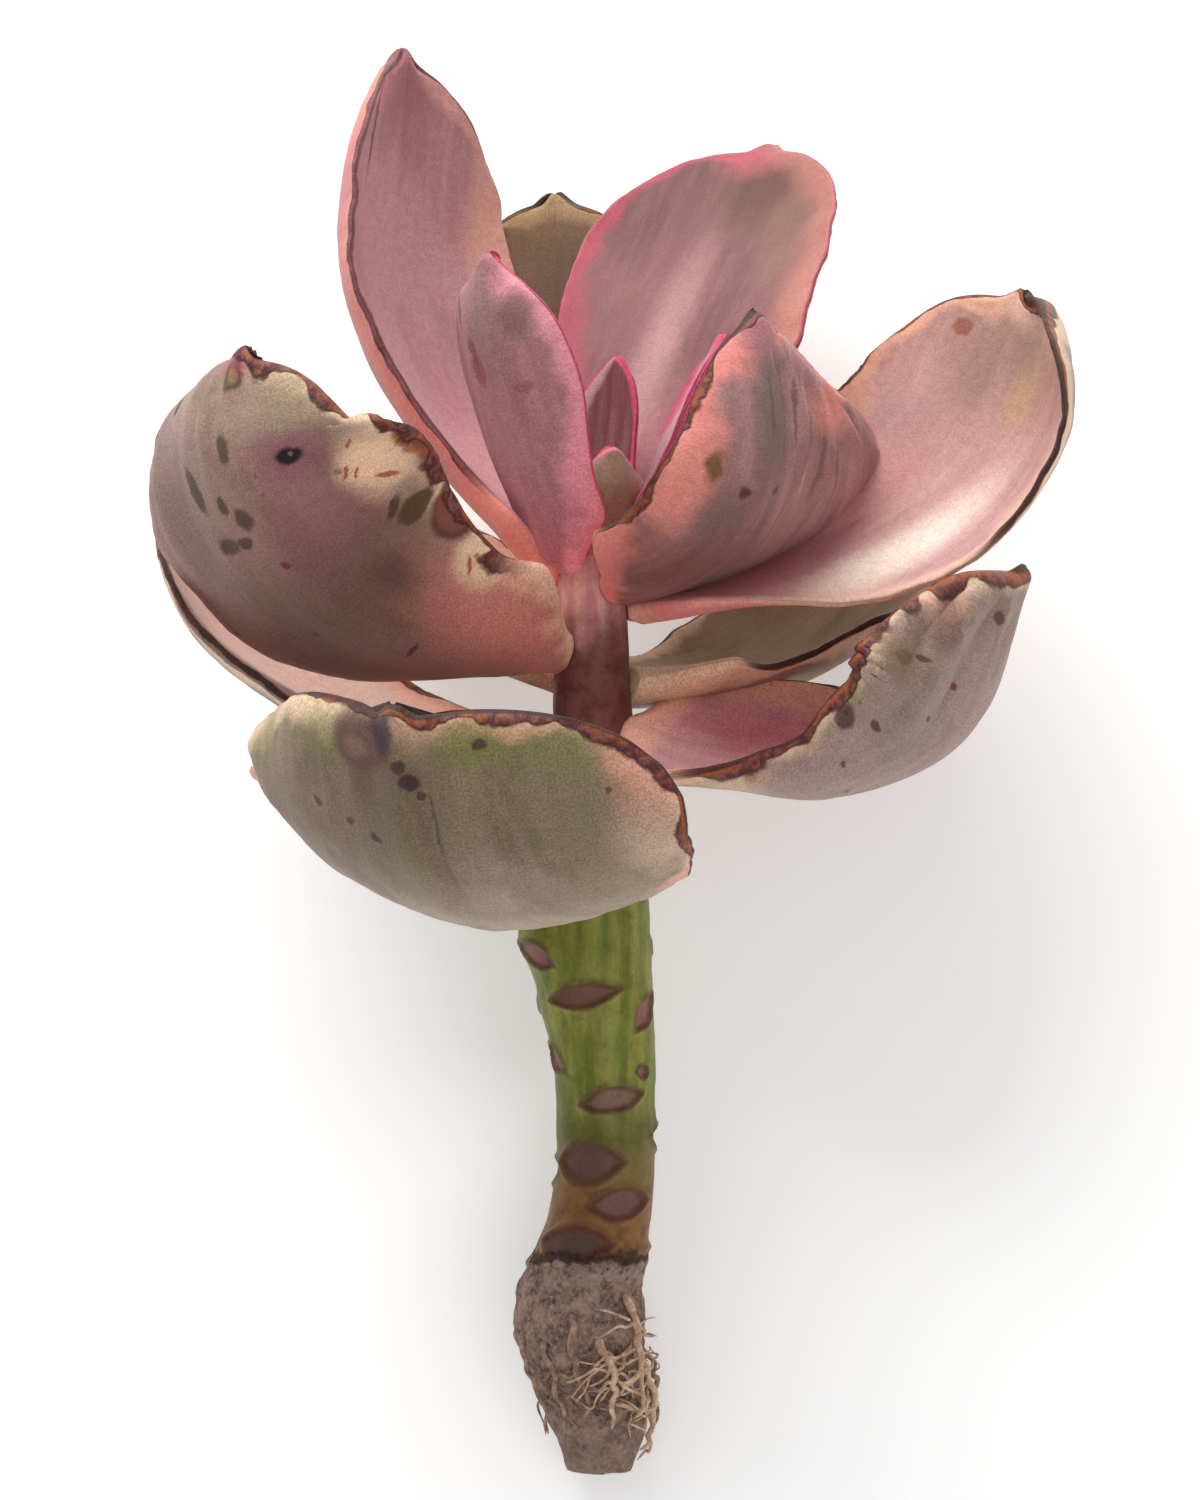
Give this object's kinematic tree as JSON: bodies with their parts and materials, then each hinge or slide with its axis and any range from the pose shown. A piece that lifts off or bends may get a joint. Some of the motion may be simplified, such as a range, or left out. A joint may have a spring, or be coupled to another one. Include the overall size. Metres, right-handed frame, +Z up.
{
  "type": "rooted succulent cutting",
  "caption": "Rooted cutting of a rosette succulent: cupped pink-edged grey-green leaves on a bare scarred stem, lying on its back.",
  "frame": {"origin": "middle of the bounding box's base, on the surface that the cutting lies on", "axes": "+Y along the lying cutting from its rooted end to the rosette, +Z up, away from the surface; the front of the rosette faces up"},
  "size_m": [0.1122, 0.1698, 0.0819],
  "materials": {
    "stem": "matte skin, green above and corky brown at the rooted end",
    "leaf": "matte powdery skin, dusty pink to grey-green with dry brown margins",
    "root": "dry and fibrous"
  },
  "bodies": {
    "root": {"stem": "stem", "leaf_lower_front": "leaf", "leaf_lower_right": "leaf", "leaf_lower_left_back": "leaf", "leaf_lower_right_back": "leaf", "leaf_left": "leaf", "leaf_left_back": "leaf", "leaf_right": "leaf", "leaf_back": "leaf", "leaf_front_right": "leaf", "leaf_upper_left": "leaf", "leaf_upper_right": "leaf", "leaf_inner_left": "leaf", "leaf_inner_right": "leaf", "leaf_bud_back": "leaf", "leaf_bud_front": "leaf", "root_01": "root", "root_02": "root", "root_03": "root", "root_04": "root", "root_05": "root", "root_06": "root", "root_07": "root", "root_08": "root"}
  },
  "joints": []
}
